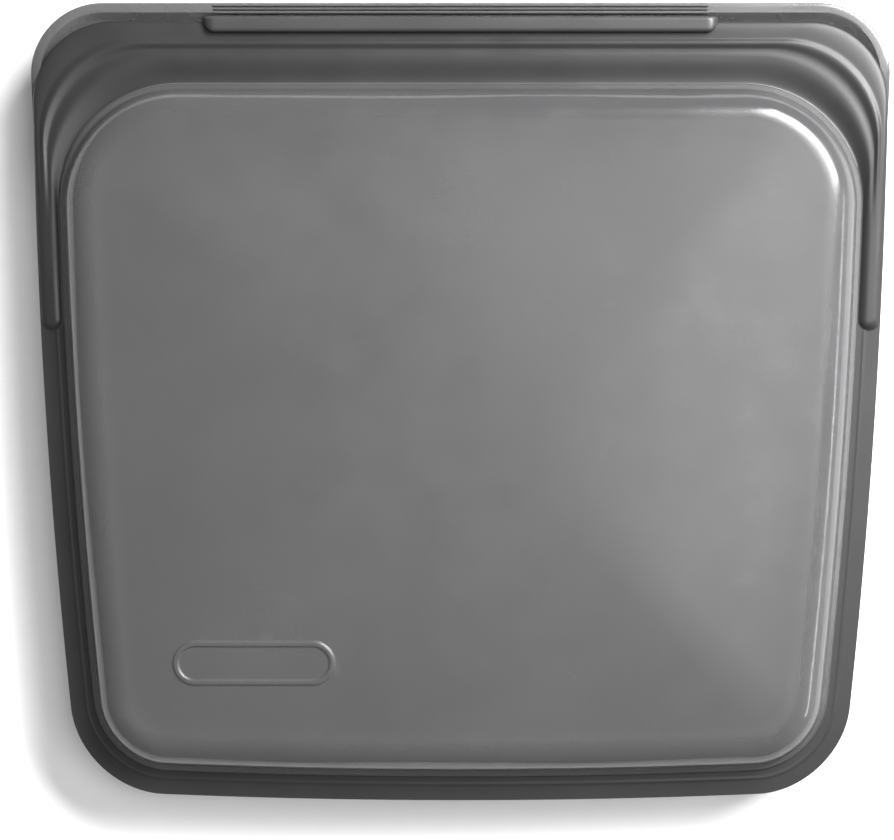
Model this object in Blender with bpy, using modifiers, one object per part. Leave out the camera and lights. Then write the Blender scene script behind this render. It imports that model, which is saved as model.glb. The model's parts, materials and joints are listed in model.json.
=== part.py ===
"""Reusable silicone food bag with a press-to-close mouth, lying on its back wall.

Metres, +Z up. X is the bag's width, the mouth is towards +Y, the front wall faces +Z.
The origin is under the middle of the bag, on the surface that the back wall lies on.

Every outline of the bag is one Line: a flat top edge, two bowed and tapered sides and a
slightly bowed bottom edge, joined by round corners. Each part is lofted between such lines.
"""
import math
from collections import namedtuple

import bmesh
import bpy
import numpy as np
from mathutils import Matrix

MM = 0.001
GAP = 0.3 * MM                      # kept between two solids that touch

# Outline of the whole bag
HALF_WIDTH = 92.32 * MM             # half of the width at mid height
SIDE_TAPER = 0.0622                 # how fast the sides widen towards the mouth
SIDE_BOW = 0.335                    # how much the sides bow outwards, per metre
BOTTOM_BOW = 0.32                   # how much the bottom edge bows downwards, per metre

# Heights above the surface that the bag lies on
BACK_FLANGE_BOTTOM = 9.6 * MM
BACK_FLANGE_TOP = 11.0 * MM
FRONT_FLANGE_BOTTOM = BACK_FLANGE_TOP + GAP
FRONT_FLANGE_TOP = 13.0 * MM
SEAL_TOP = 12.8 * MM
STRIP_BOTTOM = SEAL_TOP + GAP
POUCH_EDGE = 13.6 * MM              # where the front wall leaves the closure strip
CROWN = 24.0 * MM                   # highest point of the front wall
LIP_EDGE_TOP = 14.0 * MM            # outer face of the closure strip, from its lip inwards
LIP_BAND_TOP = 14.2 * MM
LIP_UNDERSIDE = 12.5 * MM           # beyond the fold the front lip stands clear of the back lip
OUTER_RIDGE_TOP = 15.2 * MM
RIDGE_DIP_TOP = 14.5 * MM
INNER_RIDGE_TOP = 15.0 * MM
VALLEY_TOP = 13.8 * MM

# Walls
WALL = 1.2 * MM
FRONT_SHOULDER = 9.5 * MM           # width of the rounded shoulder round the front panel
FRONT_SHOULDER_RISE = 8.2 * MM
CROWN_SPAN = 40.0 * MM              # the front panel is domed over this width inside its shoulder
BACK_SHOULDER = 9.0 * MM            # width of the rounded shoulder under the back flange
SMALLEST_CORNER = 6.0 * MM

# Closure
CLOSURE_END = 16.0 * MM             # the seal runs down both sides as far as this
LIP_FOLD = 80.9 * MM                # the lips bend along this line, outside the seal
BACK_LIP_END = 72.0 * MM            # the back lip's raised rim fades out here
BACK_RIM_TOP = 13.6 * MM
BACK_RIM_FOOT = 11.9 * MM
RAIL_OUTER_FACE = 1.65 * MM         # seal rails and bead, measured from the seal's centre line
RAIL_INNER_FACE = 0.95 * MM
BEAD_ROOT = 0.6 * MM
BEAD_TIP = 0.3 * MM
BEAD_SHOULDER = 12.2 * MM
END_STOP_RADIUS = 2.4 * MM
END_STOP_INSET = 2.9 * MM
END_STOP_TOP = 14.4 * MM

# Grip areas
GRIP_HALF_WIDTH = 57.0 * MM
GRIP_PAD_START = 81.6 * MM
GRIP_PAD_END = 85.1 * MM
GRIP_PAD_BOTTOM = 14.5 * MM
GRIP_PAD_TOP = 15.8 * MM
GRIP_PAD_EDGE = 0.6 * MM            # rounding of the pad's edges
RIB_HALF_WIDTH = 55.0 * MM
RIB_ROWS = (86.0 * MM, 86.8 * MM, 87.6 * MM)
RIB_SIZE = 0.4 * MM

# Joint axes, all along X: distance towards the mouth and height
MOUTH_HINGE = (CLOSURE_END, CROWN)
FRONT_LIP_HINGE = (LIP_FOLD, 14.3 * MM)
BACK_LIP_HINGE = (LIP_FOLD, BACK_FLANGE_BOTTOM)

# Segments along one half of a line
TOP_SEGMENTS = 4
TOP_CORNER_SEGMENTS = 7
SIDE_SEGMENTS = 8
BOTTOM_CORNER_SEGMENTS = 5
BOTTOM_SEGMENTS = 4
SHOULDER_SEGMENTS = 5
CROWN_STEPS = (0.2, 0.5, 1.0)       # shares of the crown's span that get a ring
CUTTER_REACH = 0.5                  # how far a cutter box reaches, well past the bag

SILICONE_GREY = (0.105, 0.112, 0.120, 1.0)
SILICONE_ROUGHNESS = 0.42

Line = namedtuple("Line", "top side bottom top_radius bottom_radius")


def line(top, side, bottom, top_radius, bottom_radius):
    """A line given in millimetres: edge positions, inset from the sides and corner radii."""
    return Line(top * MM, side * MM, bottom * MM, top_radius * MM, bottom_radius * MM)


OUTER = line(88.4, 0.0, -88.4, 16.0, 18.0)
RIM_FOOT = line(85.3, 0.1, -88.3, 18.5, 18.0)   # 1 mm clear, so that the front lip can swing up
FRONT_LIP = line(84.3, 0.4, -88.0, 18.0, 18.0)
BAND_END = line(80.6, 1.7, -86.7, 21.0, 17.0)
OUTER_RIDGE = line(79.3, 2.6, -85.8, 22.0, 16.0)
RIDGE_DIP = line(77.9, 3.4, -85.0, 24.0, 15.5)
INNER_RIDGE = line(76.3, 4.2, -84.2, 26.0, 15.0)
VALLEY = line(73.2, 4.9, -83.5, 27.0, 14.8)
POUCH = line(70.4, 5.7, -82.7, 27.0, 14.5)
SEAL = line(77.6, 3.15, -85.3, 23.0, 15.5)
LAND_INNER = line(79.6, 1.15, -87.3, 21.5, 17.0)


def inset(base, distance):
    """The line that runs a distance inside the base line, or outside it when negative."""
    return Line(base.top - distance, base.side + distance, base.bottom + distance,
                max(base.top_radius - distance, SMALLEST_CORNER),
                max(base.bottom_radius - distance, SMALLEST_CORNER))


def side_x(y, side_inset):
    """Distance of a side from the middle at y: a shallow parabola less the inset."""
    return HALF_WIDTH + SIDE_TAPER * y - SIDE_BOW * y * y - side_inset


def conic(start, corner, end, segments):
    """Round corner as a rational quadratic curve, a circle's arc where the edges are square."""
    t = np.linspace(0.0, 1.0, segments + 1)[:, None]
    pull = math.sqrt(0.5)
    first = (1.0 - t) ** 2
    middle = 2.0 * pull * t * (1.0 - t)
    last = t ** 2
    return (first * start + middle * corner + last * end) / (first + middle + last)


def ring(base, z):
    """Closed loop of points on a line at height z, from the top's middle round the bag."""
    top_corner = np.array([side_x(base.top, base.side), base.top])
    top_start = top_corner - [base.top_radius, 0.0]
    y_side = base.top - base.top_radius
    top_end = np.array([side_x(y_side, base.side), y_side])

    corner_x = side_x(base.bottom, base.side)
    low_corner = np.array([corner_x, base.bottom + BOTTOM_BOW * corner_x ** 2])
    y_low = low_corner[1] + base.bottom_radius
    low_start = np.array([side_x(y_low, base.side), y_low])
    end_x = corner_x - base.bottom_radius
    low_end = np.array([end_x, base.bottom + BOTTOM_BOW * end_x ** 2])

    top_x = np.linspace(0.0, top_start[0], TOP_SEGMENTS + 1)
    side_y = np.linspace(y_side, y_low, SIDE_SEGMENTS + 1)
    bottom_x = np.linspace(end_x, 0.0, BOTTOM_SEGMENTS + 1)
    half = np.vstack([
        np.column_stack([top_x, np.full_like(top_x, base.top)])[:-1],
        conic(top_start, top_corner, top_end, TOP_CORNER_SEGMENTS)[:-1],
        np.column_stack([side_x(side_y, base.side), side_y])[:-1],
        conic(low_start, low_corner, low_end, BOTTOM_CORNER_SEGMENTS)[:-1],
        np.column_stack([bottom_x, base.bottom + BOTTOM_BOW * bottom_x ** 2]),
    ])
    mirrored = half[-2:0:-1] * [-1.0, 1.0]
    flat = np.vstack([half, mirrored])
    return np.column_stack([flat, np.full(len(flat), z)])


def silicone():
    """The smoky grey silicone that every part is moulded from, one copy for each part."""
    material = bpy.data.materials.new("silicone")
    material.use_nodes = True
    shader = material.node_tree.nodes["Principled BSDF"]
    shader.inputs["Base Color"].default_value = SILICONE_GREY
    shader.inputs["Roughness"].default_value = SILICONE_ROUGHNESS
    shader.inputs["Metallic"].default_value = 0.0
    return material


def add_object(name, bm, collection):
    """Puts a bmesh into a new object of the collection."""
    bmesh.ops.recalc_face_normals(bm, faces=bm.faces)
    mesh = bpy.data.meshes.new(name)
    bm.to_mesh(mesh)
    bm.free()
    made = bpy.data.objects.new(name, mesh)
    collection.objects.link(made)
    return made


def loft(name, rings, collection, closed_section):
    """Solid through a row of rings: joined last to first, or capped at both end rings."""
    bm = bmesh.new()
    rows = [[bm.verts.new(point) for point in points] for points in rings]
    pairs = list(zip(rows, rows[1:]))
    if closed_section:
        pairs.append((rows[-1], rows[0]))
    else:
        bm.faces.new(rows[0])
        bm.faces.new(rows[-1])
    for near, far in pairs:
        count = len(near)
        for i in range(count):
            j = (i + 1) % count
            bm.faces.new((near[i], near[j], far[j], far[i]))
    made = add_object(name, bm, collection)
    made.data.materials.append(silicone())
    return made


def band(name, section, collection):
    """Ring-shaped solid whose cross-section is a closed list of (line, height)."""
    return loft(name, [ring(base, z) for base, z in section], collection, True)


def box_cutter(name, low, high, collection):
    """Box between two corners, for cutting only."""
    bm = bmesh.new()
    size = [b - a for a, b in zip(low, high)]
    middle = [(a + b) / 2.0 for a, b in zip(low, high)]
    placed = Matrix.Translation(middle) @ Matrix.Diagonal((*size, 1.0))
    bmesh.ops.create_cube(bm, size=1.0, matrix=placed)
    cutter = add_object(name, bm, collection)
    cutter.hide_render = True
    cutter.display_type = "WIRE"
    return cutter


def make_cutters(collection):
    """Half spaces on each side of the bag's three dividing lines and of its middle."""
    far = CUTTER_REACH
    above, below = GAP / 2.0, -GAP / 2.0
    spans = {
        "over_closure_end": ((-far, CLOSURE_END + below, -far), (far, far, far)),
        "under_closure_end": ((-far, -far, -far), (far, CLOSURE_END + above, far)),
        "over_lip_fold": ((-far, LIP_FOLD + below, -far), (far, far, far)),
        "under_lip_fold": ((-far, -far, -far), (far, LIP_FOLD + above, far)),
        "under_back_lip_end": ((-far, -far, -far), (far, BACK_LIP_END, far)),
        "right_half": ((0.0, -far, -far), (far, far, far)),
        "left_half": ((-far, -far, -far), (0.0, far, far)),
    }
    return {name: box_cutter(name, low, high, collection)
            for name, (low, high) in spans.items()}


def cut_away(part, *cutters):
    """Takes each cutter's space away from the part."""
    for cutter in cutters:
        cut = part.modifiers.new(cutter.name, "BOOLEAN")
        cut.operation = "DIFFERENCE"
        cut.solver = "EXACT"
        cut.object = cutter
    return part


def front_wall_profile():
    """Insets and heights of the front wall's outer face, from its rim to its crown."""
    turns = np.linspace(0.0, math.pi / 2.0, SHOULDER_SEGMENTS + 1)
    shoulder_top = POUCH_EDGE + FRONT_SHOULDER_RISE
    outer = [(0.0, FRONT_FLANGE_BOTTOM)]
    inner = [(WALL, FRONT_FLANGE_BOTTOM)]
    for turn in turns:
        outer.append((FRONT_SHOULDER * (1.0 - math.cos(turn)),
                      POUCH_EDGE + FRONT_SHOULDER_RISE * math.sin(turn)))
        inner.append((FRONT_SHOULDER - (FRONT_SHOULDER - WALL) * math.cos(turn),
                      POUCH_EDGE + (FRONT_SHOULDER_RISE - WALL) * math.sin(turn)))
    for part_way in CROWN_STEPS:
        height = shoulder_top + (CROWN - shoulder_top) * (1.0 - (1.0 - part_way) ** 2)
        across = FRONT_SHOULDER + CROWN_SPAN * part_way
        outer.append((across, height))
        inner.append((across, height - WALL))
    return outer, inner


def back_wall_profile():
    """Insets and heights of the back wall's outer and inner faces, from its rim to its floor."""
    turns = np.linspace(0.0, math.pi / 2.0, SHOULDER_SEGMENTS + 1)
    outer = [(0.0, BACK_FLANGE_TOP)]
    inner = [(WALL, BACK_FLANGE_TOP)]
    for turn in turns:
        outer.append((BACK_SHOULDER * (1.0 - math.cos(turn)),
                      BACK_FLANGE_BOTTOM * (1.0 - math.sin(turn))))
        inner.append((BACK_SHOULDER - (BACK_SHOULDER - WALL) * math.cos(turn),
                      BACK_FLANGE_BOTTOM - (BACK_FLANGE_BOTTOM - WALL) * math.sin(turn)))
    return outer, inner


def pouch_wall(name, profile, collection):
    """Shell of even thickness: up the outer face from its middle, round the rim, back inside."""
    outer, inner = profile
    path = outer[::-1] + inner
    rings = [ring(inset(POUCH, across), z) for across, z in path]
    return loft(name, rings, collection, False)


def flange_section(bottom, top):
    """Cross-section of a flat flange from the bag's edge to the pouch."""
    edge = inset(POUCH, -GAP)
    return [(OUTER, bottom), (OUTER, top), (edge, top), (edge, bottom)]


def closure_strip_section():
    """Cross-section of the front half of the closure: lip, two press ridges and inner web."""
    edge = inset(POUCH, -GAP)
    return [
        (FRONT_LIP, FRONT_FLANGE_BOTTOM),
        (FRONT_LIP, LIP_EDGE_TOP),
        (BAND_END, LIP_BAND_TOP),
        (OUTER_RIDGE, OUTER_RIDGE_TOP),
        (RIDGE_DIP, RIDGE_DIP_TOP),
        (INNER_RIDGE, INNER_RIDGE_TOP),
        (VALLEY, VALLEY_TOP),
        (edge, POUCH_EDGE),
        (edge, STRIP_BOTTOM),
        (LAND_INNER, STRIP_BOTTOM),
        (LAND_INNER, FRONT_FLANGE_BOTTOM),
    ]


def front_lip_section():
    """Cross-section of the front lip beyond its fold, thinner than the closure behind it."""
    return [(FRONT_LIP, LIP_UNDERSIDE), (FRONT_LIP, LIP_EDGE_TOP),
            (BAND_END, LIP_BAND_TOP), (BAND_END, LIP_UNDERSIDE)]


def seal_rail_section(near, far):
    """Cross-section of one wall of the seal's groove, between two offsets from its centre."""
    return [(inset(SEAL, near), FRONT_FLANGE_BOTTOM), (inset(SEAL, near), SEAL_TOP),
            (inset(SEAL, far), SEAL_TOP), (inset(SEAL, far), FRONT_FLANGE_BOTTOM)]


def seal_bead_section():
    """Cross-section of the bead that presses into the groove, narrower at its tip."""
    return [(inset(SEAL, -BEAD_ROOT), SEAL_TOP), (inset(SEAL, BEAD_ROOT), SEAL_TOP),
            (inset(SEAL, BEAD_ROOT), BEAD_SHOULDER), (inset(SEAL, BEAD_TIP), FRONT_FLANGE_BOTTOM),
            (inset(SEAL, -BEAD_TIP), FRONT_FLANGE_BOTTOM), (inset(SEAL, -BEAD_ROOT), BEAD_SHOULDER)]


def back_rim_section():
    """Cross-section of the back lip's raised rim, a wedge that is highest at the edge."""
    return [(OUTER, FRONT_FLANGE_BOTTOM), (OUTER, BACK_RIM_TOP),
            (RIM_FOOT, BACK_RIM_FOOT), (RIM_FOOT, FRONT_FLANGE_BOTTOM)]


def bar(name, low, high, edge, collection):
    """Bar with rounded edges between two corners."""
    bm = bmesh.new()
    size = [b - a for a, b in zip(low, high)]
    middle = [(a + b) / 2.0 for a, b in zip(low, high)]
    placed = Matrix.Translation(middle) @ Matrix.Diagonal((*size, 1.0))
    bmesh.ops.create_cube(bm, size=1.0, matrix=placed)
    made = add_object(name, bm, collection)
    made.data.materials.append(silicone())
    rounding = made.modifiers.new("rounded_edges", "BEVEL")
    rounding.width = edge
    rounding.segments = 2
    return made


def back_rim_height(y):
    """Height of the rim's sloping top at y, behind the grip."""
    part_way = (y - RIM_FOOT.top) / (OUTER.top - RIM_FOOT.top)
    return BACK_RIM_FOOT + (BACK_RIM_TOP - BACK_RIM_FOOT) * part_way


def back_grip_ribs(collection):
    """Three fine ribs along the inner face of the back lip."""
    ribs = []
    for number, y in enumerate(RIB_ROWS, start=1):
        base = back_rim_height(y + RIB_SIZE / 2.0) + GAP
        low = (-RIB_HALF_WIDTH, y - RIB_SIZE / 2.0, base)
        high = (RIB_HALF_WIDTH, y + RIB_SIZE / 2.0, base + RIB_SIZE)
        ribs.append(bar(f"back_grip_rib_{number}", low, high, RIB_SIZE / 4.0, collection))
    return ribs


def front_grip_pad(collection):
    """Thick pad on the front lip that the thumb pulls on."""
    low = (-GRIP_HALF_WIDTH, GRIP_PAD_START, GRIP_PAD_BOTTOM)
    high = (GRIP_HALF_WIDTH, GRIP_PAD_END, GRIP_PAD_TOP)
    return bar("front_grip_pad", low, high, GRIP_PAD_EDGE, collection)


def seal_end(name, side, collection, cutters):
    """Half-round boss on the flange where the seal ends, on one side of the bag."""
    x = side * side_x(CLOSURE_END, END_STOP_INSET)
    bottom = FRONT_FLANGE_TOP + GAP
    bm = bmesh.new()
    placed = Matrix.Translation((x, CLOSURE_END, (bottom + END_STOP_TOP) / 2.0))
    bmesh.ops.create_cone(bm, cap_ends=True, segments=24, radius1=END_STOP_RADIUS,
                          radius2=END_STOP_RADIUS, depth=END_STOP_TOP - bottom, matrix=placed)
    made = add_object(name, bm, collection)
    made.data.materials.append(silicone())
    return cut_away(made, cutters["over_closure_end"])


def axis_empty(name, hinge, collection):
    """Empty on a joint's axis, which runs along X."""
    empty = bpy.data.objects.new(name, None)
    empty.location = (0.0, *hinge)
    collection.objects.link(empty)
    return empty


def hang_on(parent, *parts):
    """Parents parts to an empty and leaves them where they are."""
    for part in parts:
        part.parent = parent
        part.matrix_parent_inverse = Matrix.Translation(parent.location).inverted()


def make_back_half(collection, cut):
    """Everything that stays with the back wall."""
    pouch_wall("back_panel", back_wall_profile(), collection)
    plate = flange_section(BACK_FLANGE_BOTTOM, BACK_FLANGE_TOP)
    cut_away(band("back_flange", plate, collection), cut["over_lip_fold"])
    for name, near, far in (("seal_rail_outer", -RAIL_OUTER_FACE, -RAIL_INNER_FACE),
                            ("seal_rail_inner", RAIL_INNER_FACE, RAIL_OUTER_FACE)):
        cut_away(band(name, seal_rail_section(near, far), collection), cut["under_closure_end"])
    for name, other_half in (("back_lip_left", "right_half"), ("back_lip_right", "left_half")):
        cut_away(band(name, back_rim_section(), collection), cut["over_lip_fold"],
                 cut["under_back_lip_end"], cut[other_half])


def make_front_lower_half(collection, cut):
    """The front wall and flange below the closure, joined to the back half all round."""
    cut_away(pouch_wall("front_panel_lower", front_wall_profile(), collection),
             cut["over_closure_end"])
    plate = flange_section(FRONT_FLANGE_BOTTOM, FRONT_FLANGE_TOP)
    cut_away(band("front_flange_lower", plate, collection), cut["over_closure_end"])
    seal_end("seal_end_left", -1.0, collection, cut)
    seal_end("seal_end_right", 1.0, collection, cut)


def make_front_closure(collection, cut):
    """The part of the front wall that peels away with its half of the seal."""
    axis = axis_empty("mouth_hinge_axis", MOUTH_HINGE, collection)
    panel = cut_away(pouch_wall("front_panel_upper", front_wall_profile(), collection),
                     cut["under_closure_end"])
    strip = cut_away(band("front_closure_strip", closure_strip_section(), collection),
                     cut["under_closure_end"], cut["over_lip_fold"])
    bead = cut_away(band("seal_bead", seal_bead_section(), collection), cut["under_closure_end"])
    hang_on(axis, panel, strip, bead)


def make_front_lip(collection, cut):
    """The front lip and its grip pad, which fold back along the seal."""
    axis = axis_empty("front_lip_fold_axis", FRONT_LIP_HINGE, collection)
    lip = cut_away(band("front_lip", front_lip_section(), collection), cut["under_lip_fold"])
    hang_on(axis, lip, front_grip_pad(collection))


def make_back_lip(collection, cut):
    """The taller back lip with its raised rim and ribs, which folds the other way."""
    axis = axis_empty("back_lip_fold_axis", BACK_LIP_HINGE, collection)
    plate = flange_section(BACK_FLANGE_BOTTOM, BACK_FLANGE_TOP)
    lip = cut_away(band("back_lip", plate, collection), cut["under_lip_fold"])
    rim = cut_away(band("back_lip_rim", back_rim_section(), collection), cut["under_lip_fold"])
    hang_on(axis, lip, rim, *back_grip_ribs(collection))


def main():
    """Builds the bag."""
    for old in list(bpy.data.objects):
        bpy.data.objects.remove(old, do_unlink=True)
    parts = bpy.data.collections.new("silicone_bag")
    cutting = bpy.data.collections.new("cutters")
    for made in (parts, cutting):
        bpy.context.scene.collection.children.link(made)
    cut = make_cutters(cutting)
    make_back_half(parts, cut)
    make_front_lower_half(parts, cut)
    make_front_closure(parts, cut)
    make_front_lip(parts, cut)
    make_back_lip(parts, cut)


main()
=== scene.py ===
"""Looks for the reusable silicone bag: its moulded surfaces, silicone finishes, light and camera.

Metres, +Z up. X is the bag's width, the mouth is towards +Y, the front wall faces +Z.
Every moulded surface is a row of rings. A ring is one outline of the bag at one height.
"""
import json
from collections import namedtuple

import bmesh
import bpy
import numpy as np
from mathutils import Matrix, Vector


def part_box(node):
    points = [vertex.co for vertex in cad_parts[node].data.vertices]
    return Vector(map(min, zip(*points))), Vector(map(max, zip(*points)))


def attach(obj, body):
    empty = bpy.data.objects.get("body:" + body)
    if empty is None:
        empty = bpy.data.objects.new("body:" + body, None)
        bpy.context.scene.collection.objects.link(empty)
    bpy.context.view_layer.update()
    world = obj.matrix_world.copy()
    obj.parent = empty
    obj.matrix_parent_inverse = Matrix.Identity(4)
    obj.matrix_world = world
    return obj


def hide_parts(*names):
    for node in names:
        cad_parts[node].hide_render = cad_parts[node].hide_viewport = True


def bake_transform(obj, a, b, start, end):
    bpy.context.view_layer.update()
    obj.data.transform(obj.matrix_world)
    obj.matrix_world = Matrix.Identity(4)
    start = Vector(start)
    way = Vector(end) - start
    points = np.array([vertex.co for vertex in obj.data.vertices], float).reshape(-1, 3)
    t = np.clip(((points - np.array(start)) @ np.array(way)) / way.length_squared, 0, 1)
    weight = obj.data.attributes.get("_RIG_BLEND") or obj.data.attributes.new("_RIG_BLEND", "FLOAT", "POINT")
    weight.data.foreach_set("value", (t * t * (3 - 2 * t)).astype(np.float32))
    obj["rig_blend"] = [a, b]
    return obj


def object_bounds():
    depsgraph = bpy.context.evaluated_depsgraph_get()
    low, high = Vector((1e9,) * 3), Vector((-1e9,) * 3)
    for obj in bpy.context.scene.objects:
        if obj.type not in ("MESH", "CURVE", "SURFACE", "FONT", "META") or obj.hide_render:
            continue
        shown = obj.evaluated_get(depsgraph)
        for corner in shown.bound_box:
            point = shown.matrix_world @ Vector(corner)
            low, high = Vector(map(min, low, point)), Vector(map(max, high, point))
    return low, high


MM = 0.001

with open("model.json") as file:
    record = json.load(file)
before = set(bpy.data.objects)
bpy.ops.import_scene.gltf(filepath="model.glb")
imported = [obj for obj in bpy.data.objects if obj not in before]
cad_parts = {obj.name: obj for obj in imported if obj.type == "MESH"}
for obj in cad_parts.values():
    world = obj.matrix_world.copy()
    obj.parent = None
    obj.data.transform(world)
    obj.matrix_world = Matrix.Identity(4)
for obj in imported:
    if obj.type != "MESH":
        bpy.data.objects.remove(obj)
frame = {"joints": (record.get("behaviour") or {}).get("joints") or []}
cad_low, cad_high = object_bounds()
hinges = {joint["name"]: joint["pos_m"] for joint in frame["joints"]}

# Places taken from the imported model
TOP_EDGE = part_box("back_lip")[1].y
BOTTOM_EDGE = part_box("back_flange")[0].y
CLOSURE_END = hinges["mouth_open"][1]
LIP_FOLD = hinges["front_lip_fold"][1]
BACK_FLANGE_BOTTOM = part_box("back_flange")[0].z
BACK_FLANGE_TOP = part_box("back_flange")[1].z
FRONT_FLANGE_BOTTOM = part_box("front_flange_lower")[0].z
FRONT_FLANGE_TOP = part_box("front_flange_lower")[1].z
RIM_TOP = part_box("back_lip_rim")[1].z
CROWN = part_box("front_panel_upper")[1].z
LIP_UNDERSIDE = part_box("front_lip")[0].z
LIP_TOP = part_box("front_lip")[1].z
OUTER_RIDGE_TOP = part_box("front_closure_strip")[1].z

# Outline of the whole bag: sides that widen towards the mouth and bow outwards
HALF_WIDTH = 92.32 * MM
SIDE_TAPER = 0.0622
SIDE_BOW = 0.335
BOTTOM_BOW = 0.32
SMALLEST_CORNER = 6.0 * MM

# Walls
WALL = 1.2 * MM
POUCH_EDGE = 13.6 * MM
LEDGE_WIDTH = 1.2 * MM              # small step in the crease round the pouch
LEDGE_RISE = 0.5 * MM
FRONT_SHOULDER = 9.5 * MM
FRONT_SHOULDER_RISE = 8.2 * MM
BACK_SHOULDER = 9.0 * MM
DOME_SPAN = 59.0 * MM               # the front panel rises this far inside its shoulder; the
                                    # innermost outline must stay wider than its own corners
RIM_ROUND = 2.2 * MM                # the back lip's rim has a broad round edge
RIM_FALL = 0.45 * MM
LIP_FALL = 0.9 * MM                 # the front lip's outer face drops this much to its edge
RIM_FOOT_HEIGHT = 11.9 * MM         # inner foot of the rim
RIM_FADE_TO = 58.0 * MM             # the rim stands up over this much of each side, from here
RIM_FADE_SPAN = 18.0 * MM
BACK_EDGE_HEIGHTS = (9.75 * MM, 10.1 * MM)
BACK_EDGE_ROUND = 0.12 * MM
BACK_EDGE_FALL = 0.35 * MM
NOSE_ROUND_MOUTH = (12.9 * MM, 12.1 * MM, 11.6 * MM)    # heights down the front half's outer edge
NOSE_DOWN_SIDES = (12.4 * MM, 11.7 * MM, 11.5 * MM)
HOLLOW_ROOF = 13.1 * MM             # underside of the closure, over the press seal
CREASE_UNDERSIDE = 12.6 * MM
WAVE = 0.12 * MM                    # slow unevenness of the soft walls

# Share of the light that each skin stops: thick silicone hides more than a thin wall
PANEL_SOLID = 0.73
SHOULDER_SOLID = 0.81
CLOSURE_SOLID = 0.96
BACK_SOLID = 0.62
BACK_LIP_SOLID = 0.85
INSIDE_SOLID = 0.0

# Solidness between which the skin is glossy, and the roughness that blasting adds outside it
GLOSS_START = 0.75
GLOSS_END = 0.82
LIP_BLASTED = 0.87
PANEL_FROST = 0.17
BACK_FROST = 0.28
LIP_FROST = 0.22
THICK_START = 0.90                  # faces at least this solid are the thick closure and flange

# Closure: ridged round the mouth, and one half-round band with a round end down the sides
BAND_CENTRE = 2.9 * MM              # from the bag's side
BAND_RADIUS = 2.4 * MM
BAND_RISE = 0.8 * MM
RIDGES_FADE_FROM = 62.0 * MM
RIDGES_FADE_TO = 38.0 * MM
RECESS_SOFTNESS = 2.4 * MM          # end of the hollow under the band
BOND_LINE_RISE = 0.06 * MM          # fine line where the two halves are bonded
BOND_LINE_INSET = 3.9 * MM
BOND_LINE_WIDTH = 0.35 * MM
FLANGE_FALL = 0.2 * MM              # the flange thins towards its edge
OUTER_RIDGE_DROP = 0.60 * MM        # the ridges' crests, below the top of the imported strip
INNER_RIDGE_DROP = 0.75 * MM
RIDGE_DIP_HEIGHT = 14.2 * MM        # valley between the two ridges

# Press seal: offsets across it from its own line
RAILS = (("outer", -1.65 * MM, -0.95 * MM), ("inner", 0.95 * MM, 1.65 * MM))
RAIL_CHAMFER = 0.2 * MM
BEAD_HALF_WIDTH = 0.6 * MM
BEAD_HALF_TIP = 0.3 * MM
BEAD_TAPER_HEIGHT = 12.2 * MM

# Stations along one half of a ring
TOP_STATIONS = 36
TOP_CORNER_STATIONS = 30
UPPER_SIDE_STATIONS = 44
END_STATIONS = 48                   # close together round the closure's end
LOWER_SIDE_STATIONS = 50
END_SPAN = 6.0 * MM                 # each way from the closure's end
BOTTOM_CORNER_STATIONS = 22
BOTTOM_STATIONS = 28
STATION_SPREAD = 25.0 * MM          # the close stations spread out over this much of the panel

# Rows of rings, and points of the raised bars
PANEL_ROWS = 34
SHOULDER_ROWS = 22
RIDGE_ROWS = 9                      # from each crest or valley to the next
LIP_ROWS = 12
BAR_STATIONS = 160
BAR_AROUND = 28
BAR_TIP = 0.04                      # share of a bar's section that is left at its very end
BAR_SOLID = 0.9

SHARP_ANGLE = 55.0                  # degrees between faces, past which an edge is shaded sharp

# Plain capsule outline, raised low on the front panel
MARK_X, MARK_Y = -45.0 * MM, -56.8 * MM
MARK_HALF_LENGTH = 12.8 * MM
MARK_RADIUS = 4.2 * MM
MARK_STROKE = 0.55 * MM             # half the width of its flat-topped line
MARK_EDGE = 0.36 * MM
MARK_HEIGHT = 0.34 * MM
MARK_MARGIN = 2.5 * MM
MARK_CUTS = 9                       # each face near the mark is divided this often, both ways

# Lights: azimuth and elevation in degrees; distance, width and height in metres; watts
LIGHTS = {"key_soft_box": (42.0, 40.0, 0.8, 0.60, 0.30, 19.0),
          "overhead_panel": (18.0, 70.0, 1.2, 0.56, 0.56, 5.4),
          "right_strip": (-8.0, 20.0, 0.8, 0.50, 0.05, 1.1)}
WORLD_STRENGTH = 0.32
FLOOR_REACH = 5.0                   # metres each way
FLOOR_GAP = 0.05 * MM

Line = namedtuple("Line", "top side bottom top_radius bottom_radius")


def line(top_in, side_in, bottom_in, top_radius, bottom_radius):
    """Outline given in millimetres: how far inside the bag's edges it runs, and its corners."""
    return Line(TOP_EDGE - top_in * MM, side_in * MM, BOTTOM_EDGE + bottom_in * MM,
                top_radius * MM, bottom_radius * MM)


OUTER = line(0.0, 0.0, 0.0, 16.0, 18.0)
RIM_FOOT = line(3.1, 0.1, 0.1, 18.5, 18.0)
FRONT_LIP = line(4.1, 0.4, 0.4, 18.0, 18.0)
BAND_END = line(7.8, 1.7, 1.7, 21.0, 17.0)
OUTER_RIDGE = line(9.1, 2.6, 2.6, 22.0, 16.0)
RIDGE_DIP = line(10.5, 3.4, 3.4, 24.0, 15.5)
INNER_RIDGE = line(12.1, 4.2, 4.2, 26.0, 15.0)
POUCH = line(18.0, 5.7, 5.7, 27.0, 14.5)
SEAL = line(10.8, 3.15, 3.1, 23.0, 15.5)
LAND_INNER = line(8.8, 1.15, 1.1, 21.5, 17.0)

MOUTH_BEND = {"start": (0, CLOSURE_END, 0), "end": (0, CLOSURE_END + 40.0 * MM, 0)}


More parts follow.
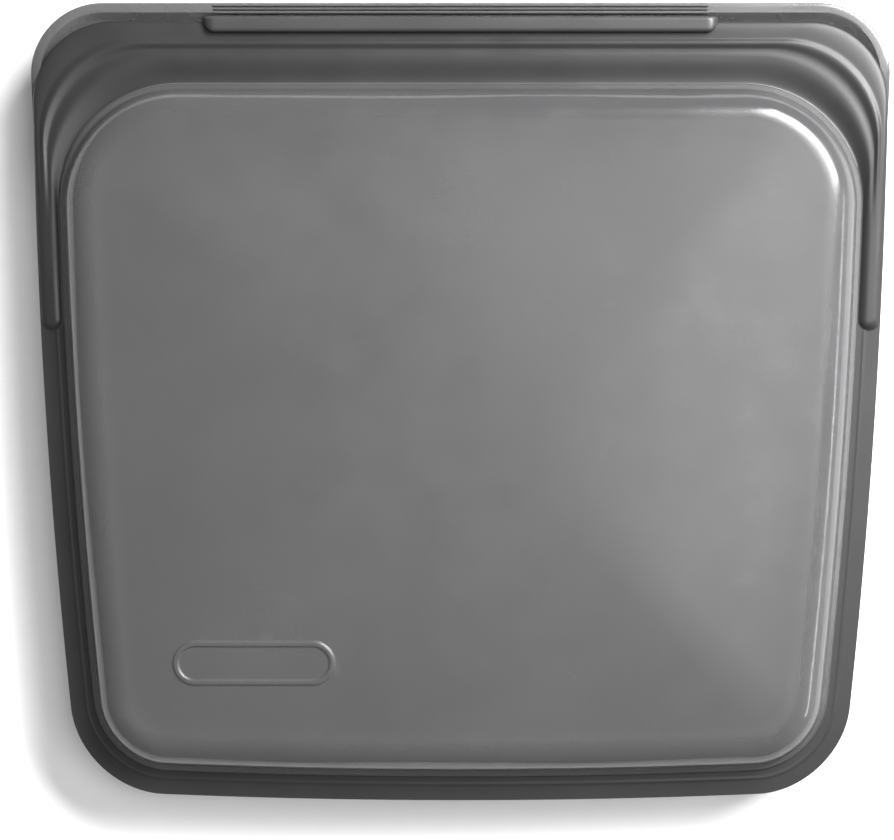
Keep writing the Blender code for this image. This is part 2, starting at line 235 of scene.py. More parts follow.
def inset(base, distance):
    """The line that runs a distance inside the base line."""
    return Line(base.top - distance, base.side + distance, base.bottom + distance,
                max(base.top_radius - distance, SMALLEST_CORNER),
                max(base.bottom_radius - distance, SMALLEST_CORNER))


def mix(a, b, share):
    """Linear mix of two lines, numbers or arrays."""
    if isinstance(a, Line):
        return Line(*((1.0 - share) * x + share * y for x, y in zip(a, b)))
    return (1.0 - share) * a + share * b


def ease(t):
    """Smooth step: 3 t squared minus 2 t cubed, level at both ends."""
    t = np.clip(t, 0.0, 1.0)
    return t * t * (3.0 - 2.0 * t)


def side_x(y, side_inset):
    """Distance of a side from the middle at y: a shallow parabola less the inset."""
    return HALF_WIDTH + SIDE_TAPER * y - SIDE_BOW * y * y - side_inset


def conic(start, corner, end, count):
    """Round corner as a rational quadratic curve, a circle's arc where the edges are square."""
    t = np.linspace(0.0, 1.0, count + 1)[:, None]
    pull = np.sqrt(0.5)
    first, middle, last = (1.0 - t) ** 2, 2.0 * pull * t * (1.0 - t), t ** 2
    return (first * start + middle * corner + last * end) / (first + middle + last)


def half_outline(base, lowest=None):
    """Right half of a line in plan: top edge, corner, bowed side, corner, bottom edge.

    With lowest, the half stops on the side at that y.
    """
    top_corner = np.array([side_x(base.top, base.side), base.top])
    top_start = top_corner - [base.top_radius, 0.0]
    y_side = base.top - base.top_radius
    top_end = np.array([side_x(y_side, base.side), y_side])
    top_x = np.linspace(0.0, top_start[0], TOP_STATIONS + 1)
    pieces = [np.column_stack([top_x, np.full_like(top_x, base.top)])[:-1],
              conic(top_start, top_corner, top_end, TOP_CORNER_STATIONS)[:-1]]
    if lowest is not None:
        side_y = np.linspace(y_side, lowest, UPPER_SIDE_STATIONS + 1)
        pieces.append(np.column_stack([side_x(side_y, base.side), side_y]))
        return np.vstack(pieces)

    corner_x = side_x(base.bottom, base.side)
    low_corner = np.array([corner_x, base.bottom + BOTTOM_BOW * corner_x ** 2])
    y_low = low_corner[1] + base.bottom_radius
    low_start = np.array([side_x(y_low, base.side), y_low])
    end_x = corner_x - base.bottom_radius
    low_end = np.array([end_x, base.bottom + BOTTOM_BOW * end_x ** 2])
    spread = ease((base.side - POUCH.side) / STATION_SPREAD)
    near_end = (mix(CLOSURE_END + END_SPAN, mix(y_side, y_low, 0.3), spread),
                mix(CLOSURE_END - END_SPAN, mix(y_side, y_low, 0.6), spread))
    side_y = np.concatenate([np.linspace(y_side, near_end[0], UPPER_SIDE_STATIONS)[:-1],
                             np.linspace(*near_end, END_STATIONS),
                             np.linspace(near_end[1], y_low, LOWER_SIDE_STATIONS)[1:]])
    bottom_x = np.linspace(end_x, 0.0, BOTTOM_STATIONS + 1)
    pieces += [np.column_stack([side_x(side_y, base.side), side_y])[:-1],
               conic(low_start, low_corner, low_end, BOTTOM_CORNER_STATIONS)[:-1],
               np.column_stack([bottom_x, base.bottom + BOTTOM_BOW * bottom_x ** 2])]
    return np.vstack(pieces)


def outline(base):
    """Closed loop of a line in plan: its right half and the mirrored half."""
    half = half_outline(base)
    return np.vstack([half, half[-2:0:-1] * [-1.0, 1.0]])


def wave(xy):
    """Slow unevenness of a soft wall: three crossing sine waves, 53 to 71 mm long."""
    x, y = xy[..., 0], xy[..., 1]
    return WAVE * (np.sin(x / (11.0 * MM) + y / (19.0 * MM))
                   + 0.7 * np.sin(y / (13.0 * MM) - x / (23.0 * MM) + 1.3)
                   + 0.5 * np.sin(x / (8.5 * MM) + 2.1)) / 2.2


def shade(mesh):
    """Smooth faces, apart from the edges where they meet at more than the sharp angle."""
    mesh.shade_smooth()
    mesh.set_sharp_from_angle(angle=np.radians(SHARP_ANGLE))


def mesh_object(name, points, faces, solidness):
    """Object with smooth faces turned outwards, and how thick the silicone is at each point."""
    mesh = bpy.data.meshes.new(name)
    mesh.from_pydata(points.tolist(), [], faces)
    thick = mesh.attributes.new("solidness", "FLOAT", "POINT")
    thick.data.foreach_set("value", np.asarray(solidness, np.float32).ravel())
    bm = bmesh.new()
    bm.from_mesh(mesh)
    bmesh.ops.remove_doubles(bm, verts=bm.verts, dist=0.002 * MM)
    bmesh.ops.dissolve_degenerate(bm, edges=bm.edges, dist=0.001 * MM)
    bmesh.ops.recalc_face_normals(bm, faces=bm.faces)
    bm.to_mesh(mesh)
    bm.free()
    shade(mesh)
    made = bpy.data.objects.new(name, mesh)
    bpy.context.scene.collection.objects.link(made)
    return made


def solidness_of(mesh):
    """Solidness of every point of a mesh."""
    solid = np.empty(len(mesh.vertices))
    mesh.attributes["solidness"].data.foreach_get("value", solid)
    return solid


def cut_at_fold(piece, side):
    """Cuts a closed piece along the lip's fold, keeps the side towards +Y or -Y and closes it."""
    bm = bmesh.new()
    bm.from_mesh(piece.data)
    cut = bmesh.ops.bisect_plane(bm, geom=bm.verts[:] + bm.edges[:] + bm.faces[:], dist=0.0005 * MM,
                                 plane_co=(0.0, LIP_FOLD, 0.0), plane_no=(0.0, side, 0.0),
                                 clear_inner=True)
    rim = [item for item in cut["geom_cut"] if isinstance(item, bmesh.types.BMEdge)]
    bmesh.ops.triangle_fill(bm, edges=rim, use_beauty=True)
    bmesh.ops.recalc_face_normals(bm, faces=bm.faces)
    bm.to_mesh(piece.data)
    bm.free()
    shade(piece.data)


def grid_faces(rows, columns, close_rows, close_columns):
    """Quads between neighbouring points of a grid, joined round either way if asked."""
    r = np.arange(rows if close_rows else rows - 1)[:, None]
    c = np.arange(columns if close_columns else columns - 1)[None, :]
    r_next, c_next = (r + 1) % rows, (c + 1) % columns
    corners = [r * columns + c, r * columns + c_next, r_next * columns + c_next, r_next * columns + c]
    return np.stack(corners, axis=-1).reshape(-1, 4).tolist()


def ring_surface(name, points, solidness):
    """Closed skin through a row of rings, with a fan to a middle point at each end ring."""
    rings, stations, _ = points.shape
    poles = points[[0, -1]].mean(axis=1)
    faces = grid_faces(rings, stations, False, True)
    first_pole, last_pole = rings * stations, rings * stations + 1
    last_ring = (rings - 1) * stations
    around = np.arange(stations)
    after = (around + 1) % stations
    faces += np.column_stack([around, after, np.full(stations, first_pole)]).tolist()
    faces += np.column_stack([after + last_ring, around + last_ring,
                              np.full(stations, last_pole)]).tolist()
    flat = np.vstack([points.reshape(-1, 3), poles])
    return mesh_object(name, flat, faces, np.append(solidness.ravel(), solidness[[0, -1], 0]))


def loop_surface(name, loops, solid):
    """Closed skin through a row of small closed loops, each end loop filled."""
    count, around, _ = loops.shape
    faces = grid_faces(count, around, False, True)
    faces.append(list(range(around)))
    faces.append(list(range((count - 1) * around, count * around)))
    flat = loops.reshape(-1, 3)
    return mesh_object(name, flat, faces, np.full(len(flat), solid))


def eased_span(a, b, count):
    """Rows from one (line, height, solidness) key to the next, level where they start and end."""
    shares = np.linspace(0.0, 1.0, count, endpoint=False)
    return [(mix(a[0], b[0], s), mix(a[1], b[1], ease(s)), mix(a[2], b[2], s)) for s in shares]


def shoulder_rows(base, start_z, width, rise, count, edge_solid, top_solid):
    """Quarter ellipse: inset is width (1 - cos), height is start + rise sin, thinning inwards."""
    turns = np.linspace(0.0, np.pi / 2.0, count)
    return [(inset(base, width * (1.0 - np.cos(t))), start_z + rise * np.sin(t),
             mix(edge_solid, top_solid, np.sin(t) ** 2)) for t in turns]


def dome_rows(base, start_z, end_z, span, count, solid):
    """Panel inside its shoulder: height is start + (end - start)(1 - (1 - t) squared)."""
    steps = np.linspace(0.0, 1.0, count + 1)[1:]
    return [(inset(base, span * t), mix(start_z, end_z, 1.0 - (1.0 - t) ** 2), solid)
            for t in steps]


def placed_rings(rows):
    """Points and solidness of every (line, height, solidness) row."""
    plans = np.stack([outline(base) for base, _, _ in rows])
    heights = np.array([z for _, z, _ in rows])[:, None]
    solid = np.array([s for _, _, s in rows])[:, None]
    shape = plans.shape[:2]
    return plans, np.broadcast_to(heights, shape).copy(), np.broadcast_to(solid, shape).copy()


def front_outer_rows():
    """The front's outer face from the crown outwards, above the closure's end."""
    shoulder_base = inset(POUCH, LEDGE_WIDTH)
    foot = POUCH_EDGE + LEDGE_RISE
    top = POUCH_EDGE + FRONT_SHOULDER_RISE
    rows = dome_rows(inset(POUCH, FRONT_SHOULDER), top, CROWN, DOME_SPAN,
                     PANEL_ROWS, PANEL_SOLID)[::-1]
    rows += shoulder_rows(shoulder_base, foot, FRONT_SHOULDER - LEDGE_WIDTH,
                          top - foot, SHOULDER_ROWS, SHOULDER_SOLID, PANEL_SOLID)[::-1]
    rows += [(inset(POUCH, 0.15 * MM), foot - 0.06 * MM, SHOULDER_SOLID),
             (POUCH, POUCH_EDGE + 0.1 * MM, SHOULDER_SOLID)]
    keys = [(inset(POUCH, -0.25 * MM), POUCH_EDGE, CLOSURE_SOLID),
            (INNER_RIDGE, OUTER_RIDGE_TOP - INNER_RIDGE_DROP, CLOSURE_SOLID),
            (RIDGE_DIP, RIDGE_DIP_HEIGHT, CLOSURE_SOLID),
            (OUTER_RIDGE, OUTER_RIDGE_TOP - OUTER_RIDGE_DROP, CLOSURE_SOLID),
            (BAND_END, LIP_TOP, CLOSURE_SOLID)]
    for here, after in zip(keys, keys[1:]):
        rows += eased_span(here, after, RIDGE_ROWS)
    return rows + lip_rows()


def lip_rows():
    """Outer face of the front lip: a quarter ellipse that falls from the ridges to the edge."""
    turns = np.linspace(0.0, np.pi / 2.0, LIP_ROWS)
    return [(mix(BAND_END, FRONT_LIP, np.sin(t)), LIP_TOP - LIP_FALL * (1.0 - np.cos(t)),
             CLOSURE_SOLID) for t in turns]


def mouth_share(plans):
    """1 round the mouth, where the closure is ridged, easing to 0 down the sides."""
    return ease((plans[..., 1] - RIDGES_FADE_TO) / (RIDGES_FADE_FROM - RIDGES_FADE_TO))


def recess_share(plans):
    """1 above the closure's end, where the front is hollow for the press seal, and 0 below it."""
    return ease((plans[..., 1] - CLOSURE_END) / RECESS_SOFTNESS)


def side_heights(rows, plans, upper):
    """The same rows down the sides and along the bottom: a half-round band on a flat flange.

    The band rises by h (1 - (r / R) cubed), where r is the distance from its middle line, so that
    its end is a half circle which stops at the closure's end.
    """
    across = np.array([base.side for base, _, _ in rows])[:, None]
    below_end = np.maximum(CLOSURE_END + BAND_RADIUS - plans[..., 1], 0.0)
    from_middle = np.hypot(across - BAND_CENTRE, below_end)
    band = BAND_RISE * np.clip(1.0 - (from_middle / BAND_RADIUS) ** 3, 0.0, None)
    bond_line = BOND_LINE_RISE * np.exp(-((across - BOND_LINE_INSET) / BOND_LINE_WIDTH) ** 2)
    flat = FRONT_FLANGE_TOP - FLANGE_FALL * (1.0 - across / POUCH.side)
    flat = flat + np.where(below_end > BAND_RADIUS, bond_line, 0.0)
    return np.where(across > POUCH.side - 0.2 * MM, upper, flat + band)


def front_half():
    """Front wall, flange and closure in one skin: out over the outer face, back inside it."""
    rows = front_outer_rows()
    plans, upper, solid = placed_rings(rows)
    outer_z = mix(side_heights(rows, plans, upper), upper, mouth_share(plans))
    inside = np.array([base.side > FRONT_SHOULDER for base, _, _ in rows])[:, None]
    outer_z = outer_z + np.where(inside, wave(plans), 0.0)

    nose_lines = (FRONT_LIP, FRONT_LIP, inset(FRONT_LIP, 0.1 * MM))
    nose = [(base, z, CLOSURE_SOLID) for base, z in zip(nose_lines, NOSE_ROUND_MOUTH)]
    nose_plans, nose_upper, nose_solid = placed_rings(nose)
    nose_z = mix(np.array(NOSE_DOWN_SIDES)[:, None], nose_upper, mouth_share(nose_plans))

    under = [(inset(FRONT_LIP, 0.4 * MM), FRONT_FLANGE_BOTTOM, INSIDE_SOLID),
             (LAND_INNER, FRONT_FLANGE_BOTTOM, INSIDE_SOLID),
             (LAND_INNER, HOLLOW_ROOF, INSIDE_SOLID),
             (inset(POUCH, -0.7 * MM), HOLLOW_ROOF, INSIDE_SOLID),
             (POUCH, CREASE_UNDERSIDE, INSIDE_SOLID),
             (inset(POUCH, WALL), HOLLOW_ROOF, INSIDE_SOLID)]
    under_plans, under_upper, under_solid = placed_rings(under)
    under_z = mix(FRONT_FLANGE_BOTTOM, under_upper, recess_share(under_plans))

    inner = shoulder_rows(inset(POUCH, WALL), POUCH_EDGE, FRONT_SHOULDER - WALL,
                          FRONT_SHOULDER_RISE - WALL, 12, INSIDE_SOLID, INSIDE_SOLID)
    inner += dome_rows(inset(POUCH, FRONT_SHOULDER), POUCH_EDGE + FRONT_SHOULDER_RISE - WALL,
                       CROWN - WALL, DOME_SPAN, 14, INSIDE_SOLID)
    inner_plans, inner_z, inner_solid = placed_rings(inner)
    deep = np.array([base.side > FRONT_SHOULDER for base, _, _ in inner])[:, None]
    inner_z = inner_z + np.where(deep, wave(inner_plans), 0.0)

    plan = np.concatenate([plans, nose_plans, under_plans, inner_plans])
    z = np.concatenate([outer_z, nose_z, under_z, inner_z])
    solidness = np.concatenate([solid, nose_solid, under_solid, inner_solid])
    front = ring_surface("front_half", np.dstack([plan, z]), solidness)
    cut_at_fold(front, -1.0)
    return front


def rim_share(plans):
    """1 where the back lip stands up behind the mouth, easing to 0 down the sides."""
    return ease((plans[..., 1] - RIM_FADE_TO) / RIM_FADE_SPAN)


def back_half():
    """Back wall, flange and raised lip in one skin: out under the bag, back over its inside."""
    under = dome_rows(inset(POUCH, BACK_SHOULDER), 0.0, 0.0, DOME_SPAN, 12, BACK_SOLID)[::-1]
    turns = np.linspace(np.pi / 2.0, 0.0, 20)
    under += [(inset(POUCH, BACK_SHOULDER * (1.0 - np.cos(t))),
               BACK_FLANGE_BOTTOM * (1.0 - np.sin(t)), BACK_SOLID)
              for t in turns]
    under += [(mix(POUCH, OUTER, s), BACK_FLANGE_BOTTOM, SHOULDER_SOLID)
              for s in np.linspace(0.1, 0.97, 18)]
    edge = [(base, z, SHOULDER_SOLID)
            for base, z in zip((inset(OUTER, BACK_EDGE_ROUND), OUTER), BACK_EDGE_HEIGHTS)]
    rim = [(inset(OUTER, RIM_ROUND * (1.0 - np.cos(t))), RIM_TOP - RIM_FALL * (1.0 - np.sin(t)),
            BACK_LIP_SOLID) for t in np.linspace(0.0, np.pi / 2.0, 9)]
    rim += [(mix(inset(OUTER, RIM_ROUND), RIM_FOOT, ease(s)),
             mix(RIM_TOP, RIM_FOOT_HEIGHT, ease(s)), BACK_LIP_SOLID)
            for s in np.linspace(0.0, 1.0, 9)[1:]]
    over = [(mix(RIM_FOOT, POUCH, s), BACK_FLANGE_TOP, BACK_LIP_SOLID)
            for s in np.linspace(0.04, 1.0, 22)]
    inner = [(inset(POUCH, WALL), BACK_FLANGE_TOP, INSIDE_SOLID)]
    inner += [(inset(POUCH, BACK_SHOULDER - (BACK_SHOULDER - WALL) * np.cos(t)),
               BACK_FLANGE_BOTTOM - (BACK_FLANGE_BOTTOM - WALL) * np.sin(t), INSIDE_SOLID)
              for t in turns[::-1]]
    inner += dome_rows(inset(POUCH, BACK_SHOULDER), WALL, WALL, DOME_SPAN, 12, INSIDE_SOLID)

    parts = [placed_rings(rows) for rows in (under, edge, rim, over, inner)]
    rim_plans, rim_z, _ = parts[2]
    edge_top = BACK_FLANGE_TOP - np.linspace(BACK_EDGE_FALL, 0.0, len(rim))[:, None]
    parts[2] = (rim_plans, mix(edge_top, rim_z, rim_share(rim_plans)), parts[2][2])
    plan, z, solidness = (np.concatenate([part[i] for part in parts]) for i in range(3))
    return ring_surface("back_half", np.dstack([plan, z]), solidness)


def front_lip():
    """Lip beyond the fold: the front's own rings over the edge and back under, cut at the fold."""
    rows = lip_rows()
    rows += [(FRONT_LIP, LIP_UNDERSIDE + 0.3 * MM, CLOSURE_SOLID),
             (inset(FRONT_LIP, 0.3 * MM), LIP_UNDERSIDE, CLOSURE_SOLID),
             (BAND_END, LIP_UNDERSIDE, CLOSURE_SOLID)]
    plans, z, solid = placed_rings(rows)
    rings, stations = z.shape
    lip = mesh_object("front_lip_sheet", np.dstack([plans, z]).reshape(-1, 3),
                      grid_faces(rings, stations, True, True), solid)
    cut_at_fold(lip, 1.0)
    return lip


def moulded_bar(name, node, bottom, top, end_round, squareness):
    """Raised bar in a CAD node's place: superellipse sections, with ends round in plan and in height.

    A section is cos and sin of the turn, each to the power of the squareness. Near an end both of
    its sizes follow a quarter circle: the square root of 1 - (1 - t) squared.
    """
    low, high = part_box(node)
    x = low.x + (high.x - low.x) * (0.5 - 0.5 * np.cos(np.linspace(0.0, np.pi, BAR_STATIONS)))
    from_end = np.clip(np.minimum(x - low.x, high.x - x) / end_round, 0.0, 1.0)
    share = np.maximum(np.sqrt(1.0 - (1.0 - from_end) ** 2), BAR_TIP)[:, None]
    turn = np.linspace(0.0, 2.0 * np.pi, BAR_AROUND, endpoint=False)[None, :]
    c, s = np.cos(turn), np.sin(turn)
    half_width = (high.y - low.y) / 2.0
    y = high.y - half_width * share * (1.0 - np.sign(c) * np.abs(c) ** squareness)
    z = bottom + (top - bottom) / 2.0 * share * (1.0 + np.sign(s) * np.abs(s) ** squareness)
    points = np.dstack([np.broadcast_to(x[:, None], z.shape), y, z])
    return loop_surface(name, points, BAR_SOLID)


def seal_strip(name, section):
    """Press-seal rail or bead: a small closed section, in (offset, height), along the seal's line."""
    paths = []
    for offset, z in section:
        half = half_outline(inset(SEAL, offset), CLOSURE_END)
        plan = np.vstack([half[::-1] * [-1.0, 1.0], half[1:]])
        paths.append(np.column_stack([plan, np.full(len(plan), z)]))
    return loop_surface(name, np.stack(paths, axis=1), 1.0)


def raise_mark(front):
    """Raises a plain capsule outline on the front's outer skin, whose faces are divided there first.

    The distance d from the capsule's outline is the length of (|x| less the half length, y), less
    the radius. The line is flat up to half its width, and eases down to the skin beyond that.
    """
    bm = bmesh.new()
    bm.from_mesh(front.data)
    thick = bm.verts.layers.float["solidness"]
    reach_x = MARK_HALF_LENGTH + MARK_RADIUS + MARK_MARGIN
    reach_y = MARK_RADIUS + MARK_MARGIN
    near = {vert for vert in bm.verts
            if abs(vert.co.x - MARK_X) < reach_x and abs(vert.co.y - MARK_Y) < reach_y
            and vert.co.z > POUCH_EDGE and vert[thick] > PANEL_SOLID / 2.0}
    edges = [edge for edge in bm.edges if near.issuperset(edge.verts)]
    bmesh.ops.subdivide_edges(bm, edges=edges, cuts=MARK_CUTS, use_grid_fill=True)
    bm.to_mesh(front.data)
    bm.free()

    vertices = front.data.vertices
    points = np.empty(3 * len(vertices))
    vertices.foreach_get("co", points)
    solid = solidness_of(front.data)
    points = points.reshape(-1, 3)
    past_end = np.maximum(np.abs(points[:, 0] - MARK_X) - MARK_HALF_LENGTH, 0.0)
    off = np.abs(np.hypot(past_end, points[:, 1] - MARK_Y) - MARK_RADIUS)
    outer_skin = (solid > PANEL_SOLID / 2.0) & (points[:, 2] > POUCH_EDGE)
    relief = MARK_HEIGHT * ease((MARK_STROKE - off) / MARK_EDGE + 0.5)
    points[:, 2] += np.where(outer_skin, relief, 0.0)
    vertices.foreach_set("co", points.ravel())
    front.data.update()


def linear(hex_colour):
    """Linear colour of an sRGB hex value: the 2.4 power curve with its straight foot."""
    part = np.array([int(hex_colour[i:i + 2], 16) for i in (1, 3, 5)]) / 255.0
    part = np.where(part <= 0.04045, part / 12.92, ((part + 0.055) / 1.055) ** 2.4)
    return (*part, 1.0)


def add_node(tree, kind, settings=None, **links):
    """Adds a node, sets its properties and its unlinked sockets, and links the others to it."""
    node = tree.nodes.new(kind)
    for key, value in (settings or {}).items():
        if hasattr(node, key):
            setattr(node, key, value)
        else:
            node.inputs[key.replace("_", " ")].default_value = value
    for socket, source in links.items():
        tree.links.new(source, node.inputs[socket.replace("_", " ")])
    return node


def new_material(name):
    """A material, its tree and shader, and the object coordinates that its pattern reads."""
    material = bpy.data.materials.new(name)
    material.use_nodes = True
    tree = material.node_tree
    place = add_node(tree, "ShaderNodeTexCoord").outputs["Object"]
    return material, tree, tree.nodes["Principled BSDF"], place


def moulded_silicone(name, pale, dark, see_through, roughness, frosts, grain, gloss):
    """Platinum-cured silicone, compression-moulded in a blasted tool: smoky, satin, see-through.

    Thin walls let more through than thick ones, by the solidness of each point. Blasted tool
    grain breaks up the gloss, and slow patches of handling change it a little. Each frost adds
    roughness between two values of solidness: start, end, amount at start, amount at end.
    """
    material, tree, shader, place = new_material(name)

    # Pigment isn't stirred in quite evenly: patches about 30 mm across
    patches = add_node(tree, "ShaderNodeTexNoise", {"Scale": 1.0 / (30.0 * MM), "Detail": 3.0},
                       Vector=place)
    colour = add_node(tree, "ShaderNodeMix", {"data_type": "RGBA"})
    colour.inputs[6].default_value = linear(dark)
    colour.inputs[7].default_value = linear(pale)
    tree.links.new(patches.outputs["Fac"], colour.inputs[0])
    tree.links.new(colour.outputs[2], shader.inputs["Base Color"])

    # Handling marks 12 mm across make the satin a little glossier or duller
    marks = add_node(tree, "ShaderNodeTexNoise", {"Scale": 1.0 / (12.0 * MM), "Detail": 6.0},
                     Vector=place)
    satin = add_node(tree, "ShaderNodeMapRange", {"From_Min": 0.3, "From_Max": 0.7,
                                                  "To_Min": roughness - 0.05,
                                                  "To_Max": roughness + 0.06},
                     Value=marks.outputs["Fac"])

    # Where the tool was blasted more, the silicone is duller
    thick = add_node(tree, "ShaderNodeAttribute", {"attribute_name": "solidness"}).outputs["Fac"]
    rough = satin.outputs["Result"]
    for start, end, at_start, at_end in frosts:
        frost = add_node(tree, "ShaderNodeMapRange", {"From_Min": start, "From_Max": end,
                                                      "To_Min": at_start, "To_Max": at_end},
                         Value=thick)
        total = add_node(tree, "ShaderNodeMath", {"operation": "ADD"})
        tree.links.new(rough, total.inputs[0])
        tree.links.new(frost.outputs["Result"], total.inputs[1])
        rough = total.outputs["Value"]
    tree.links.new(rough, shader.inputs["Roughness"])

    # Blasted tool grain, drawn at the given size, coarser than the real 0.1 mm so that it shows
    speckle = add_node(tree, "ShaderNodeTexNoise", {"Scale": 1.0 / grain, "Detail": 4.0},
                       Vector=place)
    bump = add_node(tree, "ShaderNodeBump", {"Strength": 0.5, "Distance": 0.02 * MM},
                    Height=speckle.outputs["Fac"])
    tree.links.new(bump.outputs["Normal"], shader.inputs["Normal"])

    # Thick places hide more of what is behind them
    hide = add_node(tree, "ShaderNodeMapRange", {"To_Min": see_through[0],
                                                 "To_Max": see_through[1]}, Value=thick)
    tree.links.new(hide.outputs["Result"], shader.inputs["Alpha"])
    shader.inputs["Metallic"].default_value = 0.0
    shader.inputs["IOR"].default_value = 1.41
    # Gloss sits on the whole skin, but alpha takes part of it away, so a thin wall's is set higher
    shader.inputs["Specular IOR Level"].default_value = gloss
    return material


def paper_floor():
    """Matte white seamless paper: the bag's soft shadow is all that shows on it."""
    material, tree, shader, place = new_material("seamless_paper")
    fibres = add_node(tree, "ShaderNodeTexNoise", {"Scale": 1.0 / (4.0 * MM), "Detail": 5.0},
                      Vector=place)
    tone = add_node(tree, "ShaderNodeMix", {"data_type": "RGBA"})
    tone.inputs[6].default_value = linear("#f2f2f2")
    tone.inputs[7].default_value = linear("#f6f6f6")
    tree.links.new(fibres.outputs["Fac"], tone.inputs[0])
    tree.links.new(tone.outputs[2], shader.inputs["Base Color"])
    shader.inputs["Roughness"].default_value = 0.9
    shader.inputs["Specular IOR Level"].default_value = 0.1

    reach = FLOOR_REACH
    mesh = bpy.data.meshes.new("floor")
    mesh.from_pydata([(-reach, -reach, 0), (reach, -reach, 0), (reach, reach, 0), (-reach, reach, 0)],
                     [], [(0, 1, 2, 3)])
    floor = bpy.data.objects.new("floor", mesh)
    floor.data.materials.append(material)
    floor.location.z = cad_low.z - FLOOR_GAP
    bpy.context.scene.collection.objects.link(floor)


def soft_box(name, azimuth, elevation, distance, width, height, watts):
    """Rectangular studio light aimed at the bag; azimuth 0 is towards +X, 90 towards the mouth."""
    a, e = np.radians(azimuth), np.radians(elevation)
    light = bpy.data.lights.new(name, "AREA")
    light.shape = "RECTANGLE"
    light.size = width
    light.size_y = height
    light.energy = watts
    lamp = bpy.data.objects.new(name, light)
    away = np.array([np.cos(a) * np.cos(e), np.sin(a) * np.cos(e), np.sin(e)])
    lamp.location = away * distance
    from_lamp = (cad_low + cad_high) / 2.0 - lamp.location
    lamp.rotation_euler = from_lamp.to_track_quat("-Z", "Y").to_euler()
    bpy.context.scene.collection.objects.link(lamp)


def studio():
    """White surround, a soft box, a panel and a thin strip on the right, and a camera straight above."""
    world = bpy.data.worlds.new("white_surround")
    bpy.context.scene.world = world
    world.use_nodes = True
    background = world.node_tree.nodes["Background"]
    background.inputs["Color"].default_value = linear("#ffffff")
    background.inputs["Strength"].default_value = WORLD_STRENGTH
    for name, values in LIGHTS.items():
        soft_box(name, *values)
    bpy.context.scene.view_settings.view_transform = "Standard"

    lens, sensor = 100.0, 36.0
    width_share = 0.961                 # the bag's share of the frame's width
    view_width = (cad_high.x - cad_low.x) / width_share
    camera = bpy.data.cameras.new("camera")
    camera.lens = lens
    camera.sensor_width = sensor
    eye = bpy.data.objects.new("camera", camera)
    eye.location = (-3.0 * MM, -3.9 * MM, view_width * lens / sensor + FRONT_FLANGE_TOP)
    bpy.context.scene.collection.objects.link(eye)
    bpy.context.scene.camera = eye


def finish_piece(piece, material, slot, *nodes):
    """Gives a piece its silicone and hides the CAD nodes that it stands for."""
    piece.data.materials.append(material)
    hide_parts(*nodes)


def thick_faces(front, closure):
    """Gives the front's thick faces, which are the closure and the flange, the closure's silicone. It is
    darker than the wall's, partly for the thicker silicone and partly as painted shade in the closure's
    valleys and on the flange.
    """
    mesh = front.data
    mesh.materials.append(closure)
    solid = solidness_of(mesh)
    corners = np.empty(len(mesh.loops), dtype=int)
    mesh.loops.foreach_get("vertex_index", corners)
    starts = np.empty(len(mesh.polygons), dtype=int)
    mesh.polygons.foreach_get("loop_start", starts)
    thinnest = np.minimum.reduceat(solid[corners], starts)
    mesh.polygons.foreach_set("material_index", (thinnest >= THICK_START).astype(int))


def dress_walls(wall, closure):
    """The back half, and the front half with its mark and its thick closure."""
    back = back_half()
    finish_piece(back, wall, "wall_silicone", "back_panel", "back_flange", "back_lip",
                 "back_lip_rim", "back_lip_left", "back_lip_right")
    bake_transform(back, "pouch", "back_lip_flap", start=(0, LIP_FOLD, 0),
             end=(0, LIP_FOLD + 2.6 * MM, 0))

    front = front_half()
    finish_piece(front, wall, "wall_silicone", "front_panel_upper", "front_panel_lower",
                 "front_closure_strip", "front_flange_lower", "seal_end_left", "seal_end_right")
    raise_mark(front)
    thick_faces(front, closure)
    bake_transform(front, "pouch", "front_closure", **MOUTH_BEND)


def dress_lip(closure, grip):
    """The front lip beyond its fold, and the grip pad on it."""
    lip = front_lip()
    finish_piece(lip, closure, "flange_silicone", "front_lip")
    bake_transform(lip, "front_closure", "front_lip_flap", start=(0, LIP_FOLD, 0),
             end=(0, LIP_FOLD + 0.7 * MM, 0))
    pad = moulded_bar("front_grip", "front_grip_pad", LIP_TOP - LIP_FALL,
                      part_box("front_grip_pad")[1].z, 2.6 * MM, 0.5)
    finish_piece(pad, grip, "grip_silicone", "front_grip_pad")
    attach(pad, "front_lip_flap")


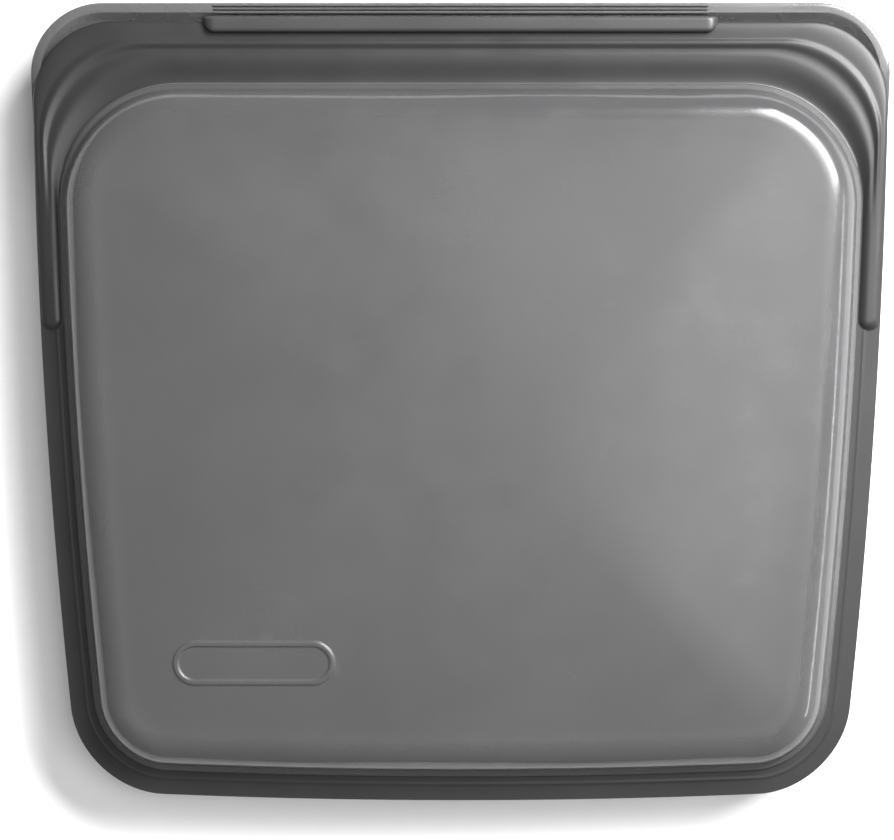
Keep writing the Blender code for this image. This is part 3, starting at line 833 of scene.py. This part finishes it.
def dress_grip_lines(grip):
    """Three fine lines to grip on the back lip's inner face."""
    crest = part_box("back_grip_rib_3")[1].z      # the lip is rounded, so its three lines end level
    for number in (1, 2, 3):
        node = f"back_grip_rib_{number}"
        low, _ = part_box(node)
        rib = moulded_bar(f"back_grip_line_{number}", node, low.z - 0.3 * MM, crest, 0.8 * MM, 0.8)
        finish_piece(rib, grip, "grip_silicone", node)
        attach(rib, "back_lip_flap")


def dress_seal(seal):
    """Press seal hidden in the closure: two rails on the back and one bead on the front."""
    base, top = FRONT_FLANGE_BOTTOM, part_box("seal_rail_outer")[1].z
    chamfer = RAIL_CHAMFER
    for name, near, far in RAILS:
        section = [(near, base), (near, top - chamfer), (near + chamfer, top),
                   (far - chamfer, top), (far, top - chamfer), (far, base)]
        rail = seal_strip(f"press_rail_{name}", section)
        finish_piece(rail, seal, "seal_silicone", f"seal_rail_{name}")
        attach(rail, "pouch")
    half, tip = BEAD_HALF_WIDTH, BEAD_HALF_TIP
    bead = seal_strip("press_bead", [(-half, top), (half, top), (half, BEAD_TAPER_HEIGHT),
                                     (tip, base), (-tip, base), (-half, BEAD_TAPER_HEIGHT)])
    finish_piece(bead, seal, "seal_silicone", "seal_bead")
    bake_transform(bead, "pouch", "front_closure", **MOUTH_BEND)


def dress_bag():
    """Makes every moulded piece and hangs it on the body or the hinge that it bends with."""
    frosts = ((BACK_SOLID, PANEL_SOLID, BACK_FROST, 0.0),
              (PANEL_SOLID, GLOSS_START, PANEL_FROST, 0.0),
              (GLOSS_END, LIP_BLASTED, 0.0, LIP_FROST))
    wall = moulded_silicone("satin_smoky_silicone_wall", "#515152", "#484849", (0.02, 1.0),
                            0.13, frosts, 0.35 * MM, 0.8)
    # The closure's silicone is darker than the wall's: partly for its thickness, partly painted shade of the
    # closure's valleys and flange
    closure = moulded_silicone("blasted_smoky_silicone_closure_painted_shade", "#2c2c2d", "#252526",
                               (0.02, 1.0), 0.38, (), 0.35 * MM, 0.55)
    seal = moulded_silicone("smoky_silicone_seal", "#323233", "#2c2c2d", (0.1, 0.4),
                            0.30, (), 0.30 * MM, 0.5)
    grip = moulded_silicone("thick_smoky_silicone_grip", "#3a3a3b", "#323233", (0.5, 0.95),
                            0.38, (), 0.30 * MM, 0.7)

    dress_walls(wall, closure)
    dress_lip(closure, grip)
    dress_grip_lines(grip)
    dress_seal(seal)


dress_bag()
paper_floor()
studio()
